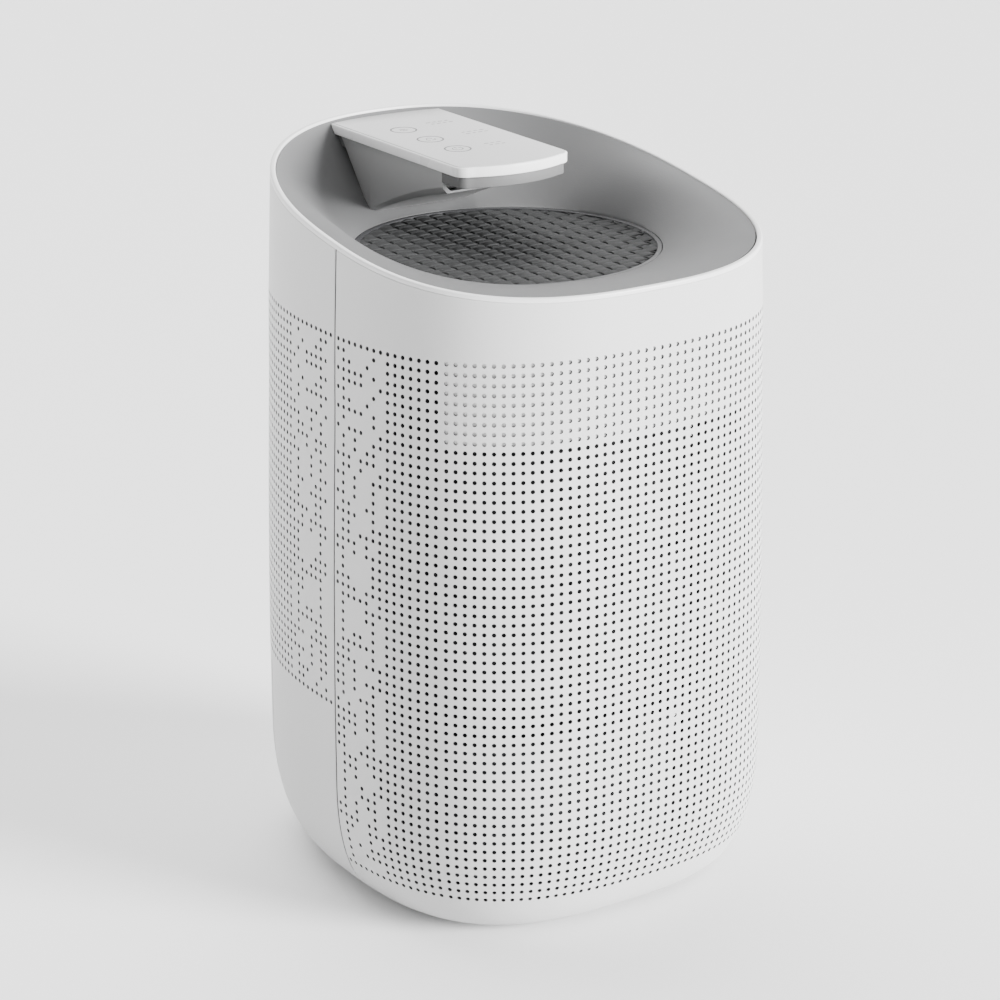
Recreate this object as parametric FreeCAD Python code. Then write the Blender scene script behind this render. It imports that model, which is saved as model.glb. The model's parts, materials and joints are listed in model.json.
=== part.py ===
import FreeCAD, Part
import os
import math
from FreeCAD import Vector as V

# Table-top air purifier with a slanted, funnel-shaped outlet on top.
# Row frame: origin on the floor at the middle of the outline, +Z up, -Y is the front,
# +Y is the rear (the side the filter drawer pulls out of). Millimetres. The shapes below
# are drawn about the fan's axis, which stands SHIFT_Y in front of that origin.

os.makedirs("parts", exist_ok=True)

# ---------------------------------------------------------------- dimensions
SHIFT_Y = 9.7               # from the fan's axis back to the middle of the outline
PITCH = 4.4                 # pitch of the air-inlet holes, the body's module
HALF_W = 107.3              # half width of the plan at mid height
HALF_D_FRONT = 107.1        # axis to the front
HALF_D_REAR = 126.5         # axis to the rear
N_FRONT = 2.63              # squareness of the front half of the plan
N_REAR = 2.324              # squareness of the rear half of the plan
WALL = 2.4                  # casing wall
FOOT_H = 2.0                # feet stand this far below the casing
BULGE = 1.056               # widest offset of the side profile
ROUND_Z = 65.05             # height where the lower rounding starts
ROUND_IN = 28.4             # how far the lower rounding runs in
ROUND_N = 2.306             # shape of the lower rounding
SIDE = ((85.2, 1.056), (107.2, 1.038), (129.2, 0.836), (151.2, 0.506), (173.2, 0.132),
        (195.2, -0.396), (217.2, -0.968), (239.2, -1.584), (261.2, -1.98), (278.8, -2.376),
        (300.0, -3.118), (325.0, -3.993), (350.0, -4.868), (372.0, -5.638))
RIM = (322.39, 0.16358, 1.9386e-4, 2.58e-7)     # height of the rim against y
SEAM_Y = -11.1              # parting line of the front and rear casings
SEAM_GAP = 0.5
DRAWER_Y = 70.4             # parting line of the drawer front
DRAWER_Z = 94.8             # top edge of the drawer front
DRAWER_GAP = 0.4
GRILLE_Z = 301.7            # top face of the outlet grille
GRILLE_Y = 7.9              # centre of the outlet grille
GRILLE_R = 72.0             # mouth of the funnel around the grille
DECK_X = 30.7               # half width of the control deck
DECK_FRONT = -5.5           # foremost point of the control deck
DECK_TOP = 343.1
DECK_T = 5.0
TRAY_T = 5.5
DUCT_R = 80.0               # inside radius of the fan housing
FAN_R = 66.0
FILTER_R = 76.0
TRAY_X = 78.0


def side_offset(z):
    if z <= ROUND_Z:
        h = min((ROUND_Z - z) / (ROUND_Z - FOOT_H), 1.0)
        return BULGE - ROUND_IN * (1 - (1 - h ** ROUND_N) ** (1 / ROUND_N))
    pts = ((ROUND_Z, BULGE),) + SIDE
    for (z0, d0), (z1, d1) in zip(pts, pts[1:]):
        if z <= z1:
            return d0 + (d1 - d0) * (z - z0) / (z1 - z0)
    return pts[-1][1]


def plan_point(a, off):
    c, s = math.cos(a), math.sin(a)
    b = (HALF_D_REAR if s > 0 else HALF_D_FRONT) + off
    n = N_REAR if s > 0 else N_FRONT
    r = (abs(c / (HALF_W + off)) ** n + abs(s / b) ** n) ** (-1 / n)
    return r * c, r * s


def closed_curve(pts):
    """Closed smooth curve with one even set of knots, so that sections loft simply."""
    n = len(pts)
    b = Part.BSplineCurve()
    b.interpolate(Points=pts, PeriodicFlag=True, Parameters=[i / n for i in range(n + 1)])
    return Part.Wire(b.toShape())


def ring(z, off, count=56):
    pts = []
    for i in range(count):
        x, y = plan_point(2 * math.pi * i / count, off)
        pts.append(V(x, y, z))
    return closed_curve(pts)


def body(inset, floor, top=372.0):
    """Solid with the body's outer form, taken in by inset, standing at z = floor."""
    secs = []
    depth = ROUND_Z - floor
    steps = 8
    for k in range(steps, 0, -1):
        t = math.pi / 2 * k / steps
        h = depth * math.sin(t) ** (2 / ROUND_N)
        d = ROUND_IN * (1 - max(math.cos(t), 0.0) ** (2 / ROUND_N))
        secs.append((ROUND_Z - h, BULGE - d - inset))
    secs.append((ROUND_Z, BULGE - inset))
    for z, d in SIDE:
        if z < top:
            secs.append((z, d - inset))
    secs.append((top, side_offset(top) - inset))
    return Part.makeLoft([ring(z, o) for z, o in secs], True, False)


def prism(off, z0, z1):
    return Part.Face(ring(z0, off)).extrude(V(0, 0, z1 - z0))


def rim_z(y):
    return RIM[0] + RIM[1] * y + RIM[2] * y * y + RIM[3] * y ** 3


def below_rim(drop):
    ys = [-150 + 20 * i for i in range(16)]
    pts = [V(-160, y, rim_z(y) - drop) for y in ys]
    c = Part.BSplineCurve()
    c.interpolate(pts)
    a, b = V(-160, ys[0], -30), V(-160, ys[-1], -30)
    w = Part.Wire([c.toShape(), Part.makeLine(pts[-1], b), Part.makeLine(b, a),
                   Part.makeLine(a, pts[0])])
    return Part.Face(w).extrude(V(320, 0, 0))


def box(x0, x1, y0, y1, z0, z1):
    return Part.makeBox(x1 - x0, y1 - y0, z1 - z0, V(x0, y0, z0))


def cyl(r, z0, z1, x=0.0, y=0.0):
    return Part.makeCylinder(r, z1 - z0, V(x, y, z0))


def tube(ro, ri, z0, z1, x=0.0, y=0.0):
    return cyl(ro, z0, z1, x, y).cut(cyl(ri, z0 - 1, z1 + 1, x, y))


def cyl_y(r, y0, y1, x, z):
    return Part.makeCylinder(r, y1 - y0, V(x, y0, z), V(0, 1, 0))


def cyl_x(r, x0, x1, y, z):
    return Part.makeCylinder(r, x1 - x0, V(x0, y, z), V(1, 0, 0))


def fuse(shapes):
    s = shapes[0]
    if len(shapes) > 1:
        s = s.multiFuse(shapes[1:])
    return s.removeSplitter()


def save(name, shape):
    shape = shape.copy()
    shape.translate(V(0, -SHIFT_Y, 0))
    solids = shape.Solids
    out = solids[0] if len(solids) == 1 else Part.makeCompound(solids)
    out.exportStep("parts/%s.step" % name)
    print("%-18s solids %d volume %.0f valid %s" % (name, len(solids), out.Volume, out.isValid()))


def polygon_face(pts):
    return Part.Face(Part.makePolygon(pts + [pts[0]]))


# ------------------------------------------------------------------- casings
outer = body(0.0, FOOT_H)
inner = body(WALL, FOOT_H + 2.5)
wall = outer.cut(inner)
wall = wall.cut(prism(-36.0, -5, FOOT_H + 6))          # open underside inside the flange
under_rim = below_rim(2.1)
wall_low = wall.common(under_rim)

front_shell = wall_low.common(box(-200, 200, -200, SEAM_Y - SEAM_GAP / 2, -10, 400))
rear_all = wall_low.common(box(-200, 200, SEAM_Y + SEAM_GAP / 2, 200, -10, 400))
drawer_cut = box(-200, 200, DRAWER_Y - DRAWER_GAP / 2, 200, -10, DRAWER_Z + DRAWER_GAP / 2)
rear_shell = rear_all.cut(drawer_cut)
drawer_front = rear_all.common(box(-200, 200, DRAWER_Y + DRAWER_GAP / 2, 200, -10,
                                   DRAWER_Z - DRAWER_GAP / 2))

# rectangular window for the power inlet, low on the right-hand side of the rear casing
IN_Y, IN_Z = 25.0, 40.0
rear_shell = rear_shell.cut(box(90, 130, IN_Y - 12.8, IN_Y + 12.8, IN_Z - 9.3, IN_Z + 9.3))

# continuous rim bead that caps both casings
rim_ring = outer.cut(body(WALL + 0.2, FOOT_H + 2.5)).common(below_rim(0.0)).cut(below_rim(2.0))

# -------------------------------------------------------------------- funnel
RIM_IN = WALL + 0.35
LIP_DROP = 0.4              # the lip starts this far below the rim bead's top


def funnel_point(a, rho):
    """Point of the funnel's inner face: a rounded lip that steepens toward the mouth."""
    x0, y0 = plan_point(a, side_offset(325.0) - RIM_IN)
    x0, y0 = plan_point(a, side_offset(rim_z(y0)) - RIM_IN)
    x1, y1 = GRILLE_R * math.cos(a), GRILLE_Y + GRILLE_R * math.sin(a)
    z0 = rim_z(y0) - LIP_DROP
    t = min(max((math.sin(a) - 0.1) / 0.8, 0.0), 1.0)
    w = t * t * (3 - 2 * t)              # 0 at the front and sides, 1 at the rear
    r = max(rho, 0.0)
    lip = r ** 2.5                       # rounded lip, steep near the mouth
    bowl = 1 - max(1 - r, 0.0) ** 1.22   # steep under the rim, flatter near the mouth
    z = z0 + (GRILLE_Z - z0) * ((1 - w) * lip + w * bowl)
    return x0 + (x1 - x0) * rho, y0 + (y1 - y0) * rho, z


def funnel_section(rho, drop=0.0, flat=None, count=56):
    pts = []
    for i in range(count):
        x, y, z = funnel_point(2 * math.pi * i / count, rho)
        pts.append(V(x, y, (z - drop) if flat is None else flat))
    return closed_curve(pts)


RHO = (0.0, 0.12, 0.26, 0.4, 0.55, 0.7, 0.85, 1.0)
well = Part.makeLoft([funnel_section(-0.10, flat=372.0), funnel_section(-0.10)]
                     + [funnel_section(r) for r in RHO], True, True)
well_low = Part.makeLoft([funnel_section(0.0, flat=371.0)]
                         + [funnel_section(r, 2.8) for r in RHO], True, True)
funnel = well_low.cut(well)
funnel = funnel.cut(cyl(GRILLE_R + 0.4, 280, GRILLE_Z + 3.0, 0, GRILLE_Y))
if len(funnel.Solids) > 1:
    funnel = sorted(funnel.Solids, key=lambda s: s.Volume)[-1]
RIBBON = (-9.0, 9.0, 94.2, 97.2)
funnel = funnel.cut(box(RIBBON[0], RIBBON[1], RIBBON[2], RIBBON[3], 290, 350))
well_in = well.copy()
well_in.translate(V(0, -0.15, 0.15))

# -------------------------------------------------------------- control deck


def deck_plan(z, inset):
    """Closed plan of the deck: bowed front edge, rear edge that follows the rim."""
    x1 = DECK_X - inset
    yf = DECK_FRONT + inset
    r_bow = 58.0
    r_c = 5.5
    pts = []
    sag = r_bow - math.sqrt(r_bow ** 2 - (x1 - r_c) ** 2)
    left, right = [], []
    # front bow from left to right
    n = 8
    bow = []
    for i in range(n + 1):
        x = -(x1 - r_c) + 2 * (x1 - r_c) * i / n
        bow.append(V(x, yf + r_bow - math.sqrt(r_bow ** 2 - x * x), z))
    back = []
    off = side_offset(343.0) - WALL - 1.3 - inset
    for i in range(n + 1):
        x = x1 - 2 * x1 * i / n
        b = HALF_D_REAR + off
        y = b * (1 - (abs(x) / (HALF_W + off)) ** N_REAR) ** (1 / N_REAR)
        back.append(V(x, y, z))
    cr = V(x1, yf + sag + r_c, z)
    cl = V(-x1, yf + sag + r_c, z)
    mid_r = V(x1 - r_c * 0.36, yf + sag + r_c * 0.42, z)
    mid_l = V(-mid_r.x, mid_r.y, z)
    bc = Part.BSplineCurve()
    bc.interpolate(bow)
    kc = Part.BSplineCurve()
    kc.interpolate(back)
    return Part.Wire([bc.toShape(),
                      Part.Arc(bow[-1], mid_r, cr).toShape(),
                      Part.makeLine(cr, back[0]), kc.toShape(),
                      Part.makeLine(back[-1], cl),
                      Part.Arc(cl, mid_l, bow[0]).toShape()])


def deck_slab(z0, z1, inset):
    return Part.Face(deck_plan(z0, inset)).extrude(V(0, 0, z1 - z0))


Z_SLAB = DECK_TOP - DECK_T
film = deck_slab(DECK_TOP - 1.1, DECK_TOP, 0.55).common(well_in)
control_deck = deck_slab(Z_SLAB, DECK_TOP - 1.15, 0.0).common(well_in)
Z_TRAY = Z_SLAB - TRAY_T
undertray = deck_slab(Z_TRAY, Z_SLAB - 0.1, 1.6).common(well_in)
hollow = deck_slab(Z_TRAY + 1.6, Z_SLAB + 1, 3.4).common(box(-50, 50, -50, 92, 300, 350))
undertray = undertray.cut(hollow)
touch_board = deck_slab(Z_TRAY + 2.4, Z_TRAY + 3.6, 4.2).common(box(-50, 50, -50, 90, 300, 350))

# wedge-shaped arm that carries the deck from the rear wall of the funnel: its sides are
# flush with the tray, and a narrower keel under it ends in an open slot at the nose
ARM_X = DECK_X - 1.6


def wedge(half, pts):
    pts = [V(-half, y, z) for y, z in pts]
    c = Part.BSplineCurve()
    c.interpolate(pts[2:5])
    w = Part.Wire([Part.makeLine(pts[5], pts[0]), Part.makeLine(pts[0], pts[1]),
                   Part.makeLine(pts[1], pts[2]), c.toShape(), Part.makeLine(pts[4], pts[5])])
    return Part.Face(w).extrude(V(2 * half, 0, 0))


panel_arm = wedge(ARM_X, [(140, Z_TRAY - 0.1), (18.5, Z_TRAY - 0.1), (19.6, 330.0),
                          (52.0, 320.0), (83.5, 306.4), (140, 300)])
keel = wedge(ARM_X - 2.6, [(140, Z_TRAY - 0.1), (18.5, Z_TRAY - 0.1), (19.3, 326.9),
                           (52.0, 317.6), (83.5, 305.2), (140, 299)])
panel_arm = panel_arm.fuse(keel).removeSplitter()
panel_arm = panel_arm.cut(box(-ARM_X + 4.0, ARM_X - 4.0, 10, 34, 328.2, 331.6))
panel_arm = panel_arm.common(well_in)
panel_arm = panel_arm.cut(box(RIBBON[0], RIBBON[1], RIBBON[2], RIBBON[3], 290, 350))
undertray = undertray.cut(box(RIBBON[0], RIBBON[1], 82, RIBBON[3], Z_TRAY - 1, Z_TRAY + 4.6))
if len(panel_arm.Solids) > 1:
    panel_arm = sorted(panel_arm.Solids, key=lambda s: s.Volume)[-1]

touch_pads = Part.makeCompound([cyl(5.6, Z_TRAY + 3.65, Z_SLAB - 0.05, -10.0, y)
                                for y in (34.6, 58.4, 82.2)])
leds = []
for y in (34.6, 58.4, 82.2):
    for k in range(3):
        x = 10.0 + 5.0 * k
        leds.append(box(x, x + 2.4, y - 1.2, y + 1.2, Z_TRAY + 3.65, Z_TRAY + 5.0))
indicator_leds = Part.makeCompound(leds)
panel_ribbon = box(-7, 7, 95.3, 96.1, 262.3, Z_TRAY + 3.2)
panel_ribbon = panel_ribbon.fuse(box(-7, 7, 90.2, 96.1, Z_TRAY + 2.4, Z_TRAY + 3.2)).removeSplitter()

# -------------------------------------------------------------- outlet grille
grille_ring = tube(GRILLE_R - 0.2, GRILLE_R - 2.2, GRILLE_Z - 3.4, GRILLE_Z - 0.1, 0, GRILLE_Y)
grille_ring = fuse([grille_ring, tube(GRILLE_R - 1.2, GRILLE_R - 5.0, GRILLE_Z - 3.4,
                                      GRILLE_Z - 2.6, 0, GRILLE_Y)])
grille = cyl(GRILLE_R - 2.35, GRILLE_Z - 2.5, GRILLE_Z - 0.4, 0, GRILLE_Y)
slots = []
for k in range(-6, 7):
    y = 10.0 * k
    half = math.sqrt((GRILLE_R - 8.0) ** 2 - (abs(y) + 1.6) ** 2)
    slots.append(box(-half, half, GRILLE_Y + y - 1.6, GRILLE_Y + y + 1.6, 295, 305))
    # three stiffening bars are left across the slots
cutter = slots[0].multiFuse(slots[1:])
for x in (-32.0, 0.0, 32.0):
    cutter = cutter.cut(box(x - 1.5, x + 1.5, -100, 120, 290, 310))
outlet_grille = grille.cut(cutter)

# ----------------------------------------------------------------- base group
base_pan = prism(-31.0, 4.9, 7.9)
POSTS = ((83.0, -42.0), (-83.0, -42.0), (81.6, 52.0), (-81.6, 52.0))
inner_fit = body(WALL + 0.5, FOOT_H + 2.5)
posts = []
screws = []
DECK_Z = 95.0
for px, py in POSTS:
    sx = 1 if px > 0 else -1
    p = box(min(px - 3.0, px + 3.0), max(px - 3.0, px + 3.0), py - 6, py + 6, 12.7, DECK_Z - 0.1)
    posts.append(p.common(inner_fit))
deck_posts = Part.makeCompound(posts)

RAIL = []
for sx in (-1, 1):
    a = box(min(sx * 57, sx * 73), max(sx * 57, sx * 73), -70, 58, 7.95, 12.6)
    b = box(min(sx * 78.5, sx * 79.9), max(sx * 78.5, sx * 79.9), -34, 44, 9.5, 22)
    c = box(min(sx * 60, sx * 79.9), max(sx * 60, sx * 79.9), -42, 57, 9.5, 12.6)
    e = box(min(sx * 78.5, sx * 84.5), max(sx * 78.5, sx * 84.5), -48, -36, 9.5, 12.6)
    g = box(min(sx * 78.5, sx * 84.5), max(sx * 78.5, sx * 84.5), 46, 57, 9.5, 12.6)
    RAIL.append(fuse([a, b, c, e, g]).common(inner_fit))
drawer_rails = Part.makeCompound(RAIL)

feet = []
for x, y in ((43, -43), (-43, -43), (44, 56), (-44, 56)):
    feet.append(cyl(10.0, 0.0, 4.85, x, y))
foot_pads = Part.makeCompound(feet)

base_screws = []
for sx in (-1, 1):
    for y in (-30.0, 30.0):
        x = sx * 62.0
        base_pan = base_pan.cut(cyl(1.8, 0, 10, x, y))
        base_screws.append(fuse([cyl(3.0, 3.1, 4.8, x, y), cyl(1.4, 4.0, 11.6, x, y)]))
drawer_rails = Part.makeCompound([r.cut(Part.makeCompound([cyl(1.5, 5, 12.0, sx * 62.0, y)
                                                           for sx in (-1, 1) for y in (-30.0, 30.0)]))
                                  for r in RAIL])
base_screws = Part.makeCompound(base_screws)

# ---------------------------------------------------------------- filter drawer
tray = box(-TRAY_X, TRAY_X, -80, 104, 13.0, 22.0).cut(box(-TRAY_X + 2, TRAY_X - 2, -78, 101.5, 15.0, 30))
tray = fuse([tray, box(-58, 58, 94, 97, 15.0, 80.0)])
tray = tray.common(body(WALL + 0.45, FOOT_H + 2.5))
front_corners = cyl(104.0, 5, 100)
drawer_tray = tray.common(front_corners.fuse(box(-100, 100, 0, 150, 0, 100)))
if len(drawer_tray.Solids) > 1:
    drawer_tray = sorted(drawer_tray.Solids, key=lambda s: s.Volume)[-1]
# two ribs tie the drawer front to the tray's upright rear wall
ribs = []
for x in (-42.0, 42.0):
    r = box(x - 1.5, x + 1.5, 97.1, 130, 24.0, 76.0).common(body(WALL - 0.6, FOOT_H + 2.0))
    ribs.append(r)
drawer_front = fuse([drawer_front] + ribs)

FZ0, FZ1 = 18.0, 86.0
filter_base = cyl(FILTER_R - 0.5, 15.2, FZ0 - 0.1)
filter_collar = tube(FILTER_R - 0.5, 53.0, FZ1 + 0.1, 89.0)
filter_seal = tube(FILTER_R - 2.0, 58.0, 89.1, DECK_Z - 0.5)
prefilter_mesh = tube(FILTER_R - 0.5, FILTER_R - 1.5, FZ0, FZ1)
folds = 60
po, pi_ = [], []
for i in range(folds * 2):
    a = math.pi * i / folds
    ro = 74.2 if i % 2 == 0 else 64.6
    ri = 72.6 if i % 2 == 0 else 62.6
    po.append(V(ro * math.cos(a), ro * math.sin(a), FZ0))
    pi_.append(V(ri * math.cos(a), ri * math.sin(a), FZ0))
hepa_pleats = polygon_face(po).cut(polygon_face(pi_)).extrude(V(0, 0, FZ1 - FZ0))
carbon_core = tube(62.0, 54.0, FZ0, FZ1)

# -------------------------------------------------------------------- fan group
fan_deck = prism(-14.0, DECK_Z, DECK_Z + 2.5).cut(cyl(50.0, 90, 110))
bell = tube(52.0, 50.0, DECK_Z, DECK_Z + 6.0)
fan_deck = fuse([fan_deck, bell])
lead_x, lead_y = 92.0, 30.0
fan_deck = fan_deck.cut(cyl(4.0, 90, 110, lead_x, lead_y))
fan_screw_xy = [(86.2 * math.cos(math.radians(a)), 86.2 * math.sin(math.radians(a)))
                for a in (45, 135, 225, 315)]
H0 = DECK_Z + 2.6
fan_housing = fuse([tube(DUCT_R + 2.4, DUCT_R, H0, 170.0), tube(DUCT_R + 10.5, DUCT_R, H0, H0 + 2.6),
                    tube(DUCT_R + 6, DUCT_R, 167.6, 170.0)])
screws = []
for x, y in fan_screw_xy:
    hole = cyl(1.6, 90, 106, x, y)
    fan_deck = fan_deck.cut(cyl(1.4, 90, 110, x, y))
    fan_housing = fan_housing.cut(hole)
    screws.append(fuse([cyl(3.0, H0 + 2.7, H0 + 4.6, x, y), cyl(1.3, DECK_Z + 0.2, H0 + 3.0, x, y)]))
fan_screws = Part.makeCompound(screws)

# impeller: back plate at the top, inlet eye at the bottom
parts = [cyl(FAN_R, 142.0, 144.0), tube(FAN_R, 54.0, 104.2, 106.0), cyl(9.0, 132.0, 144.0)]
for k in range(11):
    blade = []
    n = 7
    for j in range(n):
        r = 42.0 + (FAN_R - 0.6 - 42.0) * j / (n - 1)
        a = 2 * math.pi * k / 11 - math.radians(52.0) * ((r - 42.0) / (FAN_R - 42.0))
        blade.append((r, a))
    p1 = [V((r) * math.cos(a), (r) * math.sin(a), 105.0) for r, a in blade]
    p2 = [V(r * math.cos(a + 1.9 / r), r * math.sin(a + 1.9 / r), 105.0) for r, a in blade]
    c1, c2 = Part.BSplineCurve(), Part.BSplineCurve()
    c1.interpolate(p1)
    c2.interpolate(p2[::-1])
    w = Part.Wire([c1.toShape(), Part.makeLine(p1[-1], p2[-1]), c2.toShape(),
                   Part.makeLine(p2[0], p1[0])])
    parts.append(Part.Face(w).extrude(V(0, 0, 38.0)))
impeller = fuse(parts).cut(cyl(3.0, 120, 150))
fan_shaft = cyl(3.0, 133.0, 160.5)
rotor_cup = fuse([cyl(25.5, 144.1, 146.0), tube(25.5, 23.0, 144.1, 157.0)]).cut(cyl(3.0, 140, 150))

# motor mount with guide vanes, bearings and stator
mount = [cyl(31.0, 161.0, 163.5), tube(9.0, 7.0, 147.5, 161.5)]
for k in range(7):
    a = 2 * math.pi * k / 7
    v = box(29.5, DUCT_R - 0.15, -1.0, 1.0, 150.0, 163.5)
    v.rotate(V(0, 0, 0), V(0, 0, 1), math.degrees(a))
    mount.append(v)
motor_mount = fuse(mount).cut(tube(29.5, 9.0, 145.0, 160.9)).cut(cyl(3.4, 140, 170))
motor_bearings = Part.makeCompound([tube(6.95, 3.04, 148.0, 152.0), tube(6.95, 3.04, 155.0, 159.0)])
core = [tube(13.0, 9.05, 149.0, 158.0)]
for k in range(9):
    t = box(12.0, 20.0, -1.6, 1.6, 149.0, 158.0)
    h = tube(21.8, 19.4, 149.0, 158.0).common(box(0, 30, -6.3, 6.3, 140, 170))
    s = fuse([t, h])
    s.rotate(V(0, 0, 0), V(0, 0, 1), 40.0 * k)
    core.append(s)
motor_stator = fuse(core)

duct_o = Part.makeCone(DUCT_R + 2.4, 76.0, 124.5, V(0, 0, 170.1))
duct_i = Part.makeCone(DUCT_R, 73.6, 124.5, V(0, 0, 170.1))
duct = duct_o.cut(duct_i)
duct = duct.fuse(tube(DUCT_R + 6, DUCT_R - 0.2, 170.1, 172.5)).removeSplitter()
# crown that turns the duct toward the grille and carries the grille ring
crown = Part.makeLoft([Part.Wire(Part.makeCircle(76.0, V(0, 0, 294.6))),
                       Part.Wire(Part.makeCircle(74.5, V(0, GRILLE_Y, 298.2)))], True)
crown = crown.cut(Part.makeLoft([Part.Wire(Part.makeCircle(66.0, V(0, 0, 294.5))),
                                 Part.Wire(Part.makeCircle(66.0, V(0, GRILLE_Y, 298.3)))], True))
outlet_duct = fuse([duct, crown])
MOTOR_LEAD_Z = 176.0
outlet_duct = outlet_duct.cut(cyl_y(2.2, 60, 100, 20.0, MOTOR_LEAD_Z))
motor_lead = fuse([cyl_y(1.5, 20.0, 91.8, 20.0, MOTOR_LEAD_Z), cyl(1.5, 163.7, MOTOR_LEAD_Z, 20.0, 20.0),
                   Part.makeSphere(1.5, V(20.0, 20.0, MOTOR_LEAD_Z))])

# white wall close behind the uppermost rows of inlet holes at the front
liner = body(WALL + 2.6, FOOT_H + 2.5).cut(body(WALL + 4.0, FOOT_H + 2.5))
front_liner = liner.common(box(-200, 200, -200, -74.0, 240.5, 298.0))

# ------------------------------------------------------------------ electronics
bracket = [box(-44, 44, 88.5, 90.0, 182.0, 258.0)]
for x in (-38.0, 38.0):
    bracket.append(box(x - 4, x + 4, 66.0, 89.0, 188.0, 194.0))
    bracket.append(box(x - 4, x + 4, 66.0, 89.0, 244.0, 250.0))
bosses = []
BOARD_XY = ((-38.0, 187.0), (38.0, 187.0), (-38.0, 253.0), (38.0, 253.0))
for x, z in BOARD_XY:
    bracket.append(cyl_y(3.2, 89.0, 92.4, x, z))
board_bracket = fuse(bracket).cut(Part.makeCone(DUCT_R + 2.5, 76.1, 124.5, V(0, 0, 170.1)))
main_board = box(-42, 42, 92.5, 94.1, 183.0, 257.0)
board_screws = []
for x, z in BOARD_XY:
    board_bracket = board_bracket.cut(cyl_y(1.3, 88.0, 93.0, x, z))
    main_board = main_board.cut(cyl_y(1.7, 90.0, 96.0, x, z))
    board_screws.append(fuse([cyl_y(2.8, 94.2, 96.0, x, z), cyl_y(1.2, 89.2, 94.4, x, z)]))
board_screws = Part.makeCompound(board_screws)
board_parts = Part.makeCompound([
    box(-30, -6, 94.15, 110.0, 192.0, 216.0),          # transformer
    cyl_y(6.0, 94.15, 112.0, 6.0, 198.0),              # bulk capacitor
    cyl_y(4.0, 94.15, 106.0, 22.0, 196.0),             # output capacitor
    box(14.0, 34.0, 94.15, 100.0, 210.0, 226.0),       # motor driver with heat spreader
    box(-24.0, -8.0, 94.15, 96.4, 228.0, 244.0),       # controller
    box(-8.0, 8.0, 96.2, 100.5, 250.0, 262.0).fuse(box(-8.0, 8.0, 94.15, 100.5, 246.0, 256.0)).removeSplitter(),
    box(16.0, 26.0, 94.15, 100.0, 184.4, 190.6)])      # motor connector

inlet = box(88.0, 103.6, IN_Y - 12.5, IN_Y + 12.5, IN_Z - 9.0, IN_Z + 9.0)
recess = box(92.0, 110.0, IN_Y - 3.9, IN_Y + 3.9, IN_Z - 4.5, IN_Z + 4.5)
recess = recess.multiFuse([cyl_x(4.5, 92.0, 110.0, IN_Y - 3.9, IN_Z), cyl_x(4.5, 92.0, 110.0, IN_Y + 3.9, IN_Z)])
power_inlet = inlet.cut(recess)
inlet_pins = Part.makeCompound([cyl_x(1.2, 86.0, 101.5, IN_Y - 4.3, IN_Z), cyl_x(1.2, 86.0, 101.5, IN_Y + 4.3, IN_Z)])
power_inlet = power_inlet.cut(Part.makeCompound([cyl_x(1.25, 80.0, 110.0, IN_Y - 4.3, IN_Z),
                                                 cyl_x(1.25, 80.0, 110.0, IN_Y + 4.3, IN_Z)]))
# mains lead from the inlet up the gap beside the fan deck to the board
path = [V(lead_x, lead_y, 49.2), V(lead_x, lead_y, 110.0), V(88.0, 62.0, 140.0), V(44.0, 95.2, 200.0)]
lead = []
for p, q in zip(path, path[1:]):
    d = q.sub(p)
    lead.append(Part.makeCylinder(2.0, d.Length, p, d))
for p in path[1:-1]:
    lead.append(Part.makeSphere(2.0, p))
mains_lead = fuse(lead)

for name, shape in (
        ("front_shell", front_shell), ("rear_shell", rear_shell), ("rim_ring", rim_ring),
        ("outlet_funnel", funnel), ("grille_ring", grille_ring), ("outlet_grille", outlet_grille),
        ("panel_arm", panel_arm), ("panel_undertray", undertray), ("control_deck", control_deck),
        ("touch_film", film), ("touch_board", touch_board), ("touch_pads", touch_pads),
        ("indicator_leds", indicator_leds), ("panel_ribbon", panel_ribbon),
        ("base_pan", base_pan), ("foot_pads", foot_pads), ("base_screws", base_screws),
        ("deck_posts", deck_posts), ("drawer_rails", drawer_rails),
        ("drawer_front", drawer_front), ("drawer_tray", drawer_tray),
        ("filter_base_cap", filter_base), ("filter_top_cap", filter_collar),
        ("filter_seal", filter_seal), ("prefilter_mesh", prefilter_mesh),
        ("hepa_pleats", hepa_pleats), ("carbon_core", carbon_core),
        ("fan_deck", fan_deck), ("fan_housing", fan_housing), ("fan_screws", fan_screws),
        ("impeller", impeller), ("fan_shaft", fan_shaft), ("rotor_cup", rotor_cup),
        ("motor_mount", motor_mount), ("motor_bearings", motor_bearings),
        ("motor_stator", motor_stator), ("motor_lead", motor_lead),
        ("outlet_duct", outlet_duct), ("front_liner", front_liner),
        ("board_bracket", board_bracket), ("main_board", main_board),
        ("board_parts", board_parts), ("board_screws", board_screws),
        ("power_inlet", power_inlet), ("inlet_pins", inlet_pins), ("mains_lead", mains_lead)):
    save(name, shape)
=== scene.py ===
import json
import math

import bmesh
import bpy
import numpy as np
from mathutils import Matrix, Vector


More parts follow.
